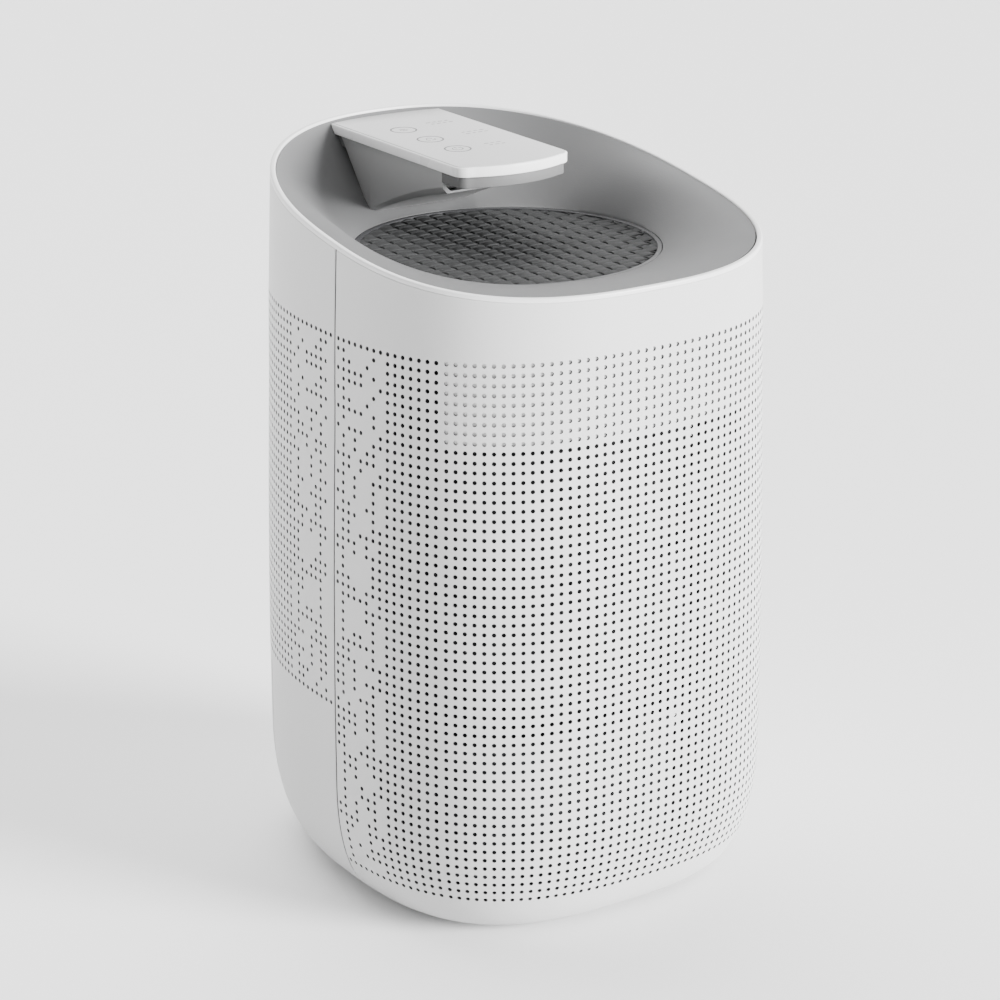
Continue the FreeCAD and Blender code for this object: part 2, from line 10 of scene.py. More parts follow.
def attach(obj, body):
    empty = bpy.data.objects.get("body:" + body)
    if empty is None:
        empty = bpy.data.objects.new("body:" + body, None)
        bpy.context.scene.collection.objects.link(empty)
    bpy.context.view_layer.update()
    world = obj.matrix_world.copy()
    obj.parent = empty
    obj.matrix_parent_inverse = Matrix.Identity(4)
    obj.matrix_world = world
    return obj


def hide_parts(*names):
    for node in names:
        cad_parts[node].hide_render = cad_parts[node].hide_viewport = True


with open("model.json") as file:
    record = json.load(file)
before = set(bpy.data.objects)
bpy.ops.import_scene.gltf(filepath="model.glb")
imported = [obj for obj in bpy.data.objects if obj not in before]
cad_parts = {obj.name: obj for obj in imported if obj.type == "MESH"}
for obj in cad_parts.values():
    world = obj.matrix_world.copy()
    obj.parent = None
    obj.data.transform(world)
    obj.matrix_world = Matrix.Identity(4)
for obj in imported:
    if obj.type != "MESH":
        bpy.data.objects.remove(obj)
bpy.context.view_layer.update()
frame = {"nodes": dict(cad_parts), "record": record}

# ------------------------------------------------------------ the body's form
MM = 0.001
U = 4.4
AX, BF, BR = 107.3, 107.1, 126.5
NF, NR = 2.63, 2.324
WALL = 2.4
BULGE, ROUND_Z, ROUND_IN, ROUND_N, FOOT = 1.056, 65.05, 28.4, 2.306, 2.0
SIDE = [(65.05, 1.056), (85.2, 1.056), (107.2, 1.038), (129.2, 0.836), (151.2, 0.506), (173.2, 0.132),
        (195.2, -0.396), (217.2, -0.968), (239.2, -1.584), (261.2, -1.98), (278.8, -2.376),
        (300.0, -3.118), (325.0, -3.993), (350.0, -4.868), (372.0, -5.638)]
RIM = (322.39, 0.16358, 1.9386e-4, 2.58e-7)
PH = 0.9826 * U            # pitch of the hole columns along the body
EXTRA = 0.121 * U          # wider land beside the broken columns
COL_N = 38                 # columns on each half of the front
SEAM_S = 37.69 * U         # parting line, measured round from the front centre
HOLE_R = 1.07
SKIN = 1.0                  # wall thickness beside the holes
GR_Z, GR_Y, GR_R = 301.7, 7.9, 72.0
SHIFT_Y = 9.7               # the shapes are drawn about the fan's axis, this far in front of the origin


def row_z(r):
    return (-r + 38.907) * U + FOOT


def side(z):
    """Offset of the side profile at height z, smooth between the table's points."""
    z = np.asarray(z, float)
    zs = np.array([p[0] for p in SIDE])
    ds = np.array([p[1] for p in SIDE])
    m = np.gradient(ds, zs)
    m[0] = 0.0
    i = np.clip(np.searchsorted(zs, z) - 1, 0, len(zs) - 2)
    h = zs[i + 1] - zs[i]
    t = np.clip((z - zs[i]) / h, 0, 1)
    up = ((2 * t ** 3 - 3 * t ** 2 + 1) * ds[i] + (t ** 3 - 2 * t ** 2 + t) * h * m[i]
          + (-2 * t ** 3 + 3 * t ** 2) * ds[i + 1] + (t ** 3 - t ** 2) * h * m[i + 1])
    q = np.clip((ROUND_Z - z) / (ROUND_Z - FOOT), 0, 1)
    low = BULGE - ROUND_IN * (1 - (1 - q ** ROUND_N) ** (1 / ROUND_N))
    return np.where(z < ROUND_Z, low, up)


def profile_normal(z):
    """Outward normal of the side profile as (radial, vertical)."""
    e = 0.02
    lo, hi = side(np.maximum(z - e, FOOT)), side(z + e)
    dz = (z + e) - np.maximum(z - e, FOOT)
    dd = hi - lo
    n = np.hypot(dz, dd)
    return dz / n, -dd / n


_a = np.linspace(-np.pi / 2, 1.5 * np.pi, 48001)
_c, _s = np.cos(_a), np.sin(_a)
_b = np.where(_s > 0, BR, BF)
_n = np.where(_s > 0, NR, NF)
_r = (np.abs(_c / AX) ** _n + np.abs(_s / _b) ** _n) ** (-1 / _n)
_x, _y = _r * _c, _r * _s
_S = np.concatenate([[0], np.cumsum(np.hypot(np.diff(_x), np.diff(_y)))])
LOOP = _S[-1]


def base(s):
    """Point and outward normal of the plan curve, s millimetres round from the front centre."""
    s = np.mod(np.asarray(s, float), LOOP)
    x, y = np.interp(s, _S, _x), np.interp(s, _S, _y)
    b = np.where(y > 0, BR, BF)
    n = np.where(y > 0, NR, NF)
    gx = np.sign(x) * np.abs(x / AX) ** (n - 1) / AX
    gy = np.sign(y) * np.abs(y / b) ** (n - 1) / b
    g = np.hypot(gx, gy)
    return x, y, gx / g, gy / g


def rim_z(y):
    return RIM[0] + RIM[1] * y + RIM[2] * y * y + RIM[3] * y ** 3


def rim_top(s, drop=0.0, inset=0.0):
    """Height of the rim at s, found where the wall meets the slanted cut."""
    x, y, nx, ny = base(s)
    z = rim_z(y)
    for _ in range(6):
        z = rim_z(y + ny * (side(z) - inset))
    return z - drop


# ------------------------------------------------------------------ materials
MATS = {}


def material(name, color, rough=0.45, spread=0.06, bump=0.02, scale=900.0, metal=0.0, tint=0.03,
             wear=0.0, wear_color=None, coat=0.0, spec=0.5, fleck=60.0):
    m = bpy.data.materials.new(name)
    m.use_nodes = True
    nt = m.node_tree
    nt.nodes.clear()
    out = nt.nodes.new("ShaderNodeOutputMaterial")
    bs = nt.nodes.new("ShaderNodeBsdfPrincipled")
    nt.links.new(bs.outputs[0], out.inputs[0])
    bs.inputs["Metallic"].default_value = metal
    bs.inputs["Specular IOR Level"].default_value = spec
    if coat:
        bs.inputs["Coat Weight"].default_value = coat
        bs.inputs["Coat Roughness"].default_value = 0.12
    tc = nt.nodes.new("ShaderNodeTexCoord")
    big = nt.nodes.new("ShaderNodeTexNoise")
    big.inputs["Scale"].default_value = fleck
    big.inputs["Detail"].default_value = 5.0
    nt.links.new(tc.outputs["Object"], big.inputs["Vector"])
    fine = nt.nodes.new("ShaderNodeTexNoise")
    fine.inputs["Scale"].default_value = scale
    fine.inputs["Detail"].default_value = 3.0
    nt.links.new(tc.outputs["Object"], fine.inputs["Vector"])
    ramp = nt.nodes.new("ShaderNodeMix")
    ramp.data_type = "RGBA"
    c = Vector(color[:3])
    dark = c * (1 - tint)
    light = Vector([min(v * (1 + tint * 0.6), 1.0) for v in c])
    ramp.inputs[6].default_value = (*dark, 1)
    ramp.inputs[7].default_value = (*light, 1)
    nt.links.new(big.outputs["Fac"], ramp.inputs[0])
    col = ramp.outputs[2]
    if wear:
        geo = nt.nodes.new("ShaderNodeNewGeometry")
        rm = nt.nodes.new("ShaderNodeMapRange")
        rm.inputs["From Min"].default_value = 0.53
        rm.inputs["From Max"].default_value = 0.62
        rm.inputs["To Max"].default_value = wear
        nt.links.new(geo.outputs["Pointiness"], rm.inputs["Value"])
        wm = nt.nodes.new("ShaderNodeMix")
        wm.data_type = "RGBA"
        wc = wear_color or tuple(min(1.0, v * 1.35 + 0.03) for v in c)
        wm.inputs[7].default_value = (*wc, 1)
        nt.links.new(col, wm.inputs[6])
        nt.links.new(rm.outputs["Result"], wm.inputs[0])
        col = wm.outputs[2]
    nt.links.new(col, bs.inputs["Base Color"])
    rr = nt.nodes.new("ShaderNodeMapRange")
    rr.inputs["To Min"].default_value = max(rough - spread, 0.02)
    rr.inputs["To Max"].default_value = min(rough + spread, 1.0)
    nt.links.new(big.outputs["Fac"], rr.inputs["Value"])
    nt.links.new(rr.outputs["Result"], bs.inputs["Roughness"])
    bp = nt.nodes.new("ShaderNodeBump")
    bp.inputs["Strength"].default_value = bump
    bp.inputs["Distance"].default_value = 0.0004
    nt.links.new(fine.outputs["Fac"], bp.inputs["Height"])
    nt.links.new(bp.outputs["Normal"], bs.inputs["Normal"])
    MATS[name] = m
    return m


material("white_shell", (0.57, 0.57, 0.57), 0.42, 0.05, 0.05, 1400, tint=0.012, wear=0.25)
# painted shade: dark grey for the hole walls and the inner faces of the white shell, standing in for the shade inside
# the holes
material("painted_shade_inside", (0.10, 0.10, 0.10), 0.6, 0.05, 0.05, 1400, tint=0.02)
material("rim_white", (0.72, 0.72, 0.72), 0.3, 0.05, 0.02, 900, tint=0.01, wear=0.2)
material("grey_funnel", (0.104, 0.105, 0.106), 0.6, 0.05, 0.12, 1500, tint=0.02, wear=0.15)
material("arm_grey", (0.31, 0.311, 0.313), 0.6, 0.05, 0.12, 1500, tint=0.02, wear=0.2)
material("tray_grey", (0.12, 0.1205, 0.121), 0.6, 0.05, 0.12, 1500, tint=0.02)
material("grille_dark", (0.026, 0.0265, 0.027), 0.75, 0.06, 0.15, 2200, tint=0.12, wear=0.25,
         wear_color=(0.04, 0.04, 0.041), spec=0.3)
material("deck_white", (0.86, 0.86, 0.86), 0.28, 0.04, 0.015, 900, tint=0.01, wear=0.15)
material("film", (0.46, 0.46, 0.462), 0.34, 0.04, 0.02, 1200, tint=0.01, coat=0.15)
material("pcb", (0.015, 0.11, 0.05), 0.4, 0.08, 0.1, 700, tint=0.2, wear=0.4, wear_color=(0.3, 0.28, 0.1))
material("parts_dark", (0.03, 0.03, 0.033), 0.4, 0.1, 0.1, 600, tint=0.2, wear=0.4)
material("led", (0.9, 0.9, 0.75), 0.25, 0.05, 0.02, 600, tint=0.03, coat=0.3)
material("ribbon", (0.72, 0.72, 0.68), 0.45, 0.05, 0.05, 500, tint=0.05, wear=0.2)
material("black_abs", (0.022, 0.022, 0.024), 0.4, 0.08, 0.12, 1500, tint=0.15, wear=0.5)
material("rubber", (0.02, 0.02, 0.02), 0.75, 0.08, 0.3, 900, tint=0.2, wear=0.4, spec=0.3)
material("steel", (0.55, 0.55, 0.56), 0.32, 0.1, 0.1, 800, metal=1.0, tint=0.06, wear=0.4)
material("filter_cap", (0.62, 0.64, 0.66), 0.5, 0.05, 0.1, 1200, tint=0.03, wear=0.2)
material("foam", (0.05, 0.05, 0.052), 0.9, 0.05, 0.8, 700, tint=0.25, wear=0.2, spec=0.2)
material("mesh", (0.10, 0.105, 0.11), 0.85, 0.05, 0.9, 1800, tint=0.25, wear=0.3, spec=0.2)
material("paper", (0.82, 0.82, 0.78), 0.85, 0.05, 0.4, 1600, tint=0.05, wear=0.2, spec=0.2)
material("carbon", (0.015, 0.015, 0.015), 0.9, 0.06, 1.0, 500, tint=0.4, wear=0.4, spec=0.3)
material("duct_grey", (0.035, 0.036, 0.038), 0.55, 0.06, 0.15, 1200, tint=0.1, wear=0.3)
material("fan_white", (0.62, 0.62, 0.62), 0.45, 0.05, 0.1, 1300, tint=0.03, wear=0.2)
material("brass", (0.62, 0.45, 0.2), 0.35, 0.1, 0.2, 900, metal=1.0, tint=0.1, wear=0.3)
material("stator", (0.30, 0.11, 0.04), 0.45, 0.1, 0.5, 900, metal=0.6, tint=0.25, wear=0.4)
material("lead", (0.02, 0.02, 0.02), 0.55, 0.06, 0.1, 900, tint=0.15, wear=0.2)
material("liner_white", (0.80, 0.80, 0.80), 0.5, 0.05, 0.05, 1200, tint=0.02, wear=0.1)
material("mark", (0.03, 0.03, 0.031), 0.45, 0.05, 0.02, 900, tint=0.05)
material("mark_pale", (0.10, 0.10, 0.101), 0.45, 0.05, 0.02, 900, tint=0.05)


def piece(name, verts, faces, mat, body="chassis", replaces=(), angle=35.0, scale=MM, inside=()):
    me = bpy.data.meshes.new(name)
    v = (np.asarray(verts, float) - (0.0, SHIFT_Y, 0.0)) * scale
    me.from_pydata(v.tolist(), [], [list(map(int, f)) for f in faces])
    me.update()
    bm = bmesh.new()
    bm.from_mesh(me)
    bmesh.ops.recalc_face_normals(bm, faces=bm.faces)
    bm.to_mesh(me)
    bm.free()
    for p in me.polygons:
        p.use_smooth = True
    me.set_sharp_from_angle(angle=math.radians(angle))
    me.materials.append(MATS[mat])
    # the hole walls and inner faces get the dark painted-shade material instead of the shell's white
    if inside:
        me.materials.append(MATS["painted_shade_inside"])
        for i in inside:
            me.polygons[i].material_index = 1
    ob = bpy.data.objects.new(name, me)
    bpy.context.scene.collection.objects.link(ob)
    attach(ob, body)
    for n in replaces:
        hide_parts(n)
    return ob


# ------------------------------------------------------------------ thin walls
class Wall:
    """Closed wall built from a grid of points on the body's outer face."""

    def __init__(self):
        self.v = []
        self.f = []
        self.inside = set()         # faces of the hole walls and of the inner side, coloured dark grey as painted shade

    def add(self, p):
        self.v.append(p)
        return len(self.v) - 1

    def grid(self, P, N, w, loop, holes=None, hole_fn=None, skip=None):
        """P, N: rows x cols x 3. holes[i][j] is True where cell (i, j) carries a hole."""
        R, C = P.shape[:2]
        o = len(self.v)
        self.v.extend(P.reshape(-1, 3).tolist())
        self.v.extend((P - N * w).reshape(-1, 3).tolist())
        half = R * C

        def a(i, j):
            return o + i * C + (j % C if loop else j)

        def b(i, j):
            return half + a(i, j)

        cols = C if loop else C - 1
        on = np.ones((R - 1, cols), bool)
        if skip is not None:
            on &= ~skip
        for i in range(R - 1):
            for j in range(cols):
                if not on[i, j]:
                    continue
                q = (a(i, j), a(i, j + 1), a(i + 1, j + 1), a(i + 1, j))
                if holes is not None and holes[i, j]:
                    outer, inner = hole_fn(i, j)
                    n = len(outer)
                    ho = len(self.v)
                    self.v.extend(outer)
                    self.v.extend(inner)
                    k = n // 4
                    for c in range(4):
                        nxt = (c + 1) % 4
                        idx = [(c * k + t) % n for t in range(k + 1)]
                        self.f.append([q[c], q[nxt]] + [ho + t for t in idx[::-1]])
                        qi = (q[c] + half, q[nxt] + half)
                        self.inside.add(len(self.f))
                        self.f.append([qi[1], qi[0]] + [ho + n + t for t in idx])
                    for t in range(n):
                        u = (t + 1) % n
                        self.inside.add(len(self.f))
                        self.f.append([ho + t, ho + u, ho + n + u, ho + n + t])
                else:
                    self.f.append(list(q))
                    self.inside.add(len(self.f))
                    self.f.append([b(i, j), b(i + 1, j), b(i + 1, j + 1), b(i, j + 1)])
                # close the borders
                if i == 0 or not on[i - 1, j]:
                    self.f.append([a(i, j + 1), a(i, j), b(i, j), b(i, j + 1)])
                if i == R - 2 or not on[i + 1, j]:
                    self.f.append([a(i + 1, j), a(i + 1, j + 1), b(i + 1, j + 1), b(i + 1, j)])
                if not loop and (j == 0 or not on[i, j - 1]):
                    self.inside.add(len(self.f))
                    self.f.append([a(i, j), a(i + 1, j), b(i + 1, j), b(i, j)])
                if not loop and (j == cols - 1 or not on[i, j + 1]):
                    self.inside.add(len(self.f))
                    self.f.append([a(i + 1, j + 1), a(i, j + 1), b(i, j + 1), b(i + 1, j + 1)])


def surface(S, Z, D=None, NRV=None):
    """Points and normals on the body for arrays of s and z (mm)."""
    x, y, nx, ny = base(S)
    d = side(Z) if D is None else D
    nr, nz = profile_normal(Z) if NRV is None else NRV
    P = np.stack([x + nx * d, y + ny * d, Z + 0 * x], -1)
    N = np.stack([nx * nr, ny * nr, nz + 0 * x], -1)
    return P, N


def lower_rows(z_start, n=12):
    """Rows of (z, d, normal) from z_start down round the lower edge, then along the flange."""
    q0 = (ROUND_Z - z_start) / (ROUND_Z - FOOT)
    t0 = math.asin(min(1.0, q0 ** (ROUND_N / 2)))
    rows = []
    for k in range(1, n + 1):
        t = t0 + (math.pi / 2 - t0) * k / n

        def at(t):
            return (ROUND_Z - (ROUND_Z - FOOT) * math.sin(t) ** (2 / ROUND_N),
                    BULGE - ROUND_IN * (1 - max(math.cos(t), 0.0) ** (2 / ROUND_N)))
        z, d = at(t)
        z0, d0 = at(t - 0.004)
        z1, d1 = at(min(t + 0.004, math.pi / 2))
        dz, dd = z0 - z1, d0 - d1
        L = math.hypot(dz, dd)
        rows.append((z, d, dz / L, -dd / L))
    rows[-1] = (FOOT, rows[-1][1], 0.0, -1.0)
    rows.append((FOOT, -32.0, 0.0, -1.0))
    rows.append((FOOT, -35.9, 0.0, -1.0))
    return rows


# runs of holes (first row, last row) in the eight columns nearest each parting line,
# counted away from it; every further column is drilled in all rows
RUNS = (
    ((-24, -23), (-21, -21), (-19, -19), (-17, -17), (-15, -15), (-12, -12), (-10, -10), (-8, -8),
     (-6, -6), (-3, -2), (1, 2), (9, 13), (15, 20), (27, 28), (34, 34)),
    ((-24, -16), (-14, 14), (16, 34)),
    ((-24, -24), (-22, -20), (-18, -17), (-15, -15), (-12, -11), (-7, -3), (1, 3), (8, 10), (15, 17),
     (21, 22), (28, 29), (34, 34)),
    ((-24, -24), (-21, -20), (-17, -17), (-15, -13), (-10, -8), (-6, -6), (-3, -2), (2, 3), (7, 8),
     (10, 13), (16, 18), (21, 23), (26, 28), (31, 31), (34, 34)),
    ((-24, -24), (-21, -20), (-17, -17), (-15, -15), (-12, -11), (-4, -4), (3, 3), (7, 8), (14, 14),
     (20, 20), (24, 25), (32, 32), (34, 34)),
    ((-24, -24), (-22, -22), (-18, -18), (-13, -12), (-7, -7), (-4, -2), (2, 5), (8, 8), (10, 10),
     (12, 12), (14, 17), (19, 21), (25, 26), (28, 32), (34, 34)),
    ((-24, -23), (-21, -21), (-19, -19), (-17, -16), (-14, -12), (-10, -4), (-2, 2), (4, 10), (12, 22),
     (24, 29), (31, 32), (34, 34)),
    ((-24, -24), (-20, -20), (-15, -14), (-11, -10), (-5, 4), (10, 12), (20, 24), (29, 34)),
)
FIRST_ROW, LAST_ROW, LAST_REAR = -24, 34, 16


def drilled(k, row, rear=False):
    """k counts columns away from a parting line, starting at 0."""
    if rear:
        if row == LAST_REAR:
            return True
        if k == 0:
            return row == FIRST_ROW
        k -= 1
    if k >= len(RUNS):
        return True
    return any(a <= row <= b for a, b in RUNS[k])


SEG = 12


def hole_rim(s0, z0):
    """Rim points of a round hole on the outer and inner faces, first point toward (-s, +z)."""
    nr, nz = profile_normal(np.array(z0))
    a = 0.75 * math.pi - 2 * math.pi * np.arange(SEG) / SEG
    S = s0 + HOLE_R * np.cos(a)
    Z = z0 + HOLE_R * np.sin(a) * float(nr)
    P, N = surface(S, Z)
    return P.tolist(), (P - N * SKIN).tolist()


def soften(P, N, rows=(), cols=(), depth=0.3):
    """Pulls the outermost line of the grid in, which leaves a small bevel at the edge."""
    for i in rows:
        P[i] -= N[i] * depth
    for j in cols:
        P[:, j] -= N[:, j] * depth


def column_lines_front():
    centres = []
    for k in range(COL_N):
        j = k + 0.5
        centres.append(j * PH + (EXTRA if j > 23 else 0.0))
    centres = np.array([-c for c in centres[::-1]] + centres)
    mids = (centres[1:] + centres[:-1]) / 2
    first = centres[0] - PH / 2
    last = centres[-1] + PH / 2
    return centres, np.concatenate([[first], mids, [last]])


def build_front():
    centres, lines = column_lines_front()
    edge = SEAM_S - 0.5
    lines = np.concatenate([[-edge, -edge + 0.35], lines, [edge - 0.35, edge]])
    ncol = len(lines)
    zrows = [row_z(FIRST_ROW) + U * 0.5] + [row_z(r) - U * 0.5 for r in range(FIRST_ROW, LAST_ROW + 1)]
    S, Z, D, A1, A2 = [], [], [], [], []
    top = rim_top(lines, 2.1)
    z_a = zrows[0]
    for k in range(9):
        t = k / 8.0
        if k == 0:
            z = top
        else:
            t = (k - 1) / 7.0
            z = (top - 0.4) + (z_a - (top - 0.4)) * t
        Z.append(z * np.ones(ncol))
    for z in zrows[1:]:
        Z.append(np.full(ncol, z))
    D = [side(z) for z in Z]
    nn = [profile_normal(z) for z in Z]
    for z, d, a, b in lower_rows(zrows[-1]):
        Z.append(np.full(ncol, z))
        D.append(np.full(ncol, d))
        nn.append((np.full(ncol, a), np.full(ncol, b)))
    Z = np.array(Z)
    S = np.tile(lines, (len(Z), 1))
    P, N = surface(S, Z, np.array(D), (np.array([q[0] for q in nn]), np.array([q[1] for q in nn])))
    soften(P, N, rows=(0,), cols=(0, ncol - 1))
    holes = np.zeros((len(Z) - 1, ncol - 1), bool)
    where = {}
    for ri, r in enumerate(range(FIRST_ROW, LAST_ROW + 1)):
        i = 8 + ri
        for c in range(len(centres)):
            k = min(c, len(centres) - 1 - c)
            if drilled(k, r):
                holes[i, c + 2] = True
                where[(i, c + 2)] = (centres[c], row_z(r))
    w = Wall()
    w.grid(P, N, SKIN, False, holes, lambda i, j: hole_rim(*where[(i, j)]))
    return w


def s_at_y(y_target, z, d):
    """Arc position on the right-hand rear side where the wall at height z crosses y_target."""
    lo, hi = LOOP * 0.25, LOOP * 0.5
    for _ in range(40):
        mid = (lo + hi) / 2
        x, y, nx, ny = base(mid)
        if y + ny * d < y_target:
            lo = mid
        else:
            hi = mid
    return (lo + hi) / 2


DRAWER_Y, DRAWER_Z, DGAP = 70.4, 94.8, 0.9


def rear_columns():
    first = SEAM_S + (38.41 - 37.69) * U
    half = LOOP / 2
    n = int(round((half - first) / PH - 0.5))
    pitch = (half - first) / (n + 0.5)
    c = first + pitch * np.arange(n + 1)
    c = np.concatenate([c, (LOOP - c)[::-1]])
    return c, pitch


def build_rear():
    centres, pitch = rear_columns()
    mids = (centres[1:] + centres[:-1]) / 2
    lines = np.concatenate([[centres[0] - pitch / 2], mids, [centres[-1] + pitch / 2]])
    e0, e1 = SEAM_S + 0.5, LOOP - SEAM_S - 0.5
    lines = np.concatenate([[e0, e0 + 0.35], lines, [e1 - 0.35, e1]])
    ncol = len(lines)
    zrows = [row_z(FIRST_ROW) + U * 0.5] + [row_z(r) - U * 0.5 for r in range(FIRST_ROW, LAST_REAR + 1)]
    top = rim_top(lines, 2.1)
    Z, D, nn, S = [], [], [], []
    for k in range(9):
        if k == 0:
            z = top
        else:
            t = (k - 1) / 7.0
            z = (top - 0.4) + (zrows[0] - (top - 0.4)) * t
        Z.append(z * np.ones(ncol))
        S.append(lines.copy())
    for z in zrows[1:]:
        Z.append(np.full(ncol, z))
        S.append(lines.copy())
    z_open = DRAWER_Z + DGAP / 2
    y_open = DRAWER_Y - DGAP / 2
    z_last = zrows[-1]
    D = [side(z) for z in Z]
    nn = [profile_normal(z) for z in Z]
    # the column line that becomes the side of the drawer opening
    x, y, nx, ny = base(lines)
    right = lines < LOOP / 2
    jr = int(np.argmin(np.where(right, np.abs(y - y_open), 1e9)))
    jl = ncol - 1 - jr

    def morphed(z, d, t=1.0):
        sb = s_at_y(y_open, z, d)
        sb = lines[jr] + (sb - lines[jr]) * t
        s = lines.copy()
        f = (sb - e0) / (lines[jr] - e0)
        s[:jr + 1] = e0 + (lines[:jr + 1] - e0) * f
        g = (LOOP / 2 - sb) / (LOOP / 2 - lines[jr])
        m = slice(jr + 1, jl)
        s[m] = LOOP / 2 + (lines[m] - LOOP / 2) * g
        s[jl:] = LOOP - s[:jr + 1][::-1]
        s[1], s[-2] = e0 + 0.35, e1 - 0.35
        return s

    extra = [(z_open + 3.0, 0.5), (z_open + 0.35, 1.0), (z_open, 1.0)]
    rows_full = len(Z)
    for z, t in extra:
        Z.append(np.full(ncol, z))
        D.append(side(Z[-1]))
        nn.append(profile_normal(Z[-1]))
        S.append(morphed(z, float(side(z)), t))
    i_open = len(Z) - 1
    for z in np.linspace(z_open, 22.0, 22)[1:]:
        Z.append(np.full(ncol, z))
        D.append(side(Z[-1]))
        nn.append(profile_normal(Z[-1]))
        S.append(morphed(z, float(side(z))))
    for z, d, a, b in lower_rows(22.0):
        Z.append(np.full(ncol, z))
        D.append(np.full(ncol, d))
        nn.append((np.full(ncol, a), np.full(ncol, b)))
        S.append(morphed(z, d))
    Z, S = np.array(Z), np.array(S)
    P, N = surface(S, Z, np.array(D), (np.array([q[0] for q in nn]), np.array([q[1] for q in nn])))
    soften(P, N, rows=(0,), cols=(0, ncol - 1))
    P[i_open:, jr] -= N[i_open:, jr] * 0.3
    P[i_open:, jl] -= N[i_open:, jl] * 0.3
    P[i_open, jr + 1:jl] -= N[i_open, jr + 1:jl] * 0.3
    R = len(Z)
    holes = np.zeros((R - 1, ncol - 1), bool)
    where = {}
    for ri, r in enumerate(range(FIRST_ROW, LAST_REAR + 1)):
        i = 8 + ri
        for c in range(len(centres)):
            k = min(c, len(centres) - 1 - c)
            if drilled(k, r, True):
                holes[i, c + 2] = True
                where[(i, c + 2)] = (centres[c], row_z(r))
    skip = np.zeros((R - 1, ncol - 1), bool)
    skip[i_open:, jr:jl] = True
    # window for the power inlet, on the right-hand side
    xm = (P[:-1, :-1, 0] + P[1:, 1:, 0]) / 2
    ym = (P[:-1, :-1, 1] + P[1:, 1:, 1]) / 2
    zm = (P[:-1, :-1, 2] + P[1:, 1:, 2]) / 2
    skip |= (xm > 60) & (np.abs(ym - 25.0) < 12.9) & (np.abs(zm - 40.0) < 9.6)
    w = Wall()
    w.grid(P, N, SKIN, False, holes, lambda i, j: hole_rim(*where[(i, j)]), skip)
    return w


def build_drawer_front():
    z_top = DRAWER_Z - DGAP / 2
    y0 = DRAWER_Y + DGAP / 2
    rows = [(z_top, float(side(z_top))), (z_top - 0.35, float(side(z_top - 0.35)))]
    rows = [(z, d) + tuple(float(q) for q in profile_normal(np.array(z))) for z, d in rows]
    for z in np.linspace(z_top - 0.35, 22.0, 30)[1:]:
        rows.append((z, float(side(z))) + tuple(float(q) for q in profile_normal(np.array(z))))
    rows += lower_rows(22.0)
    n = 97
    S, Z, D, a1, a2 = [], [], [], [], []
    for z, d, a, b in rows:
        sb = s_at_y(y0, z, d)
        u = np.linspace(-1, 1, n)
        s = LOOP / 2 + u * (LOOP / 2 - sb)
        s[1], s[-2] = s[0] + 0.35, s[-1] - 0.35
        S.append(s)
        Z.append(np.full(n, z))
        D.append(np.full(n, d))
        a1.append(np.full(n, a))
        a2.append(np.full(n, b))
    P, N = surface(np.array(S), np.array(Z), np.array(D), (np.array(a1), np.array(a2)))
    soften(P, N, rows=(0,), cols=(0, n - 1))
    w = Wall()
    w.grid(P, N, SKIN, False)
    return w


def swept_ring(rows):
    """rows: list of closed loops (n x 3) forming a closed cross-section swept round."""
    R, n = len(rows), len(rows[0])
    v = np.concatenate(rows)
    f = []
    for i in range(R):
        k = (i + 1) % R
        for j in range(n):
            m = (j + 1) % n
            f.append([i * n + j, i * n + m, k * n + m, k * n + j])
    return v, f


def build_rim():
    n = 420
    s = np.linspace(0, LOOP, n, endpoint=False)
    x, y, nx, ny = base(s)
    zt = rim_top(s)
    rows = []
    w, h, r = 2.6, 2.0, 0.75
    sec = [(0.0, -h)]
    for k in range(5):
        a = math.pi / 2 * k / 4
        sec.append((-r + r * math.cos(a), -r + r * math.sin(a)))
    for k in range(5):
        a = math.pi / 2 + math.pi / 2 * k / 4
        sec.append((-w + r + r * math.cos(a), -r + r * math.sin(a)))
    sec.append((-w, -h))
    for dn, dz in sec:
        z = zt + dz
        d = side(z) + dn
        rows.append(np.stack([x + nx * d, y + ny * d, z], -1))
    return swept_ring(rows)


def funnel_point(a, rho):
    c, s = np.cos(a), np.sin(a)
    b = np.where(s > 0, BR, BF)
    n = np.where(s > 0, NR, NF)
    off = float(side(325.0)) - (WALL + 0.2)
    for _ in range(2):
        r = (np.abs(c / (AX + off)) ** n + np.abs(s / (b + off)) ** n) ** (-1 / n)
        x0, y0 = r * c, r * s
        off = side(rim_z(y0)) - (WALL + 0.2)
    x1, y1 = GR_R * c, GR_Y + GR_R * s
    z0 = rim_z(y0) - 0.7
    t = np.clip((s - 0.1) / 0.8, 0.0, 1.0)
    w = t * t * (3 - 2 * t)
    z = z0 + (GR_Z - z0) * ((1 - w) * rho ** 2.5 + w * (1 - (1 - rho) ** 1.22))
    return np.stack([x0 + (x1 - x0) * rho, y0 + (y1 - y0) * rho, z], -1)


def build_funnel():
    n = 288
    a = np.linspace(0, 2 * np.pi, n, endpoint=False)
    rows = [funnel_point(a, r) for r in np.linspace(0.0, 1.0, 49)]
    low = rows[-1].copy()
    low[:, 2] -= 0.5
    rows.append(low)
    low = low.copy()
    low[:, 2] -= 2.2
    rows.append(low)
    for r in np.linspace(0.985, 0.0, 25):
        q = funnel_point(a, r)
        q[:, 2] -= 2.7
        rows.append(q)
    return swept_ring(rows)


def arc_pts(cx, cy, r, a0, a1, n):
    return [(cx + r * math.cos(a0 + (a1 - a0) * k / n), cy + r * math.sin(a0 + (a1 - a0) * k / n))
            for k in range(n + 1)]


DX, DFRONT, DTOP, DT, TT = 30.7, -5.5, 343.1, 5.0, 5.5


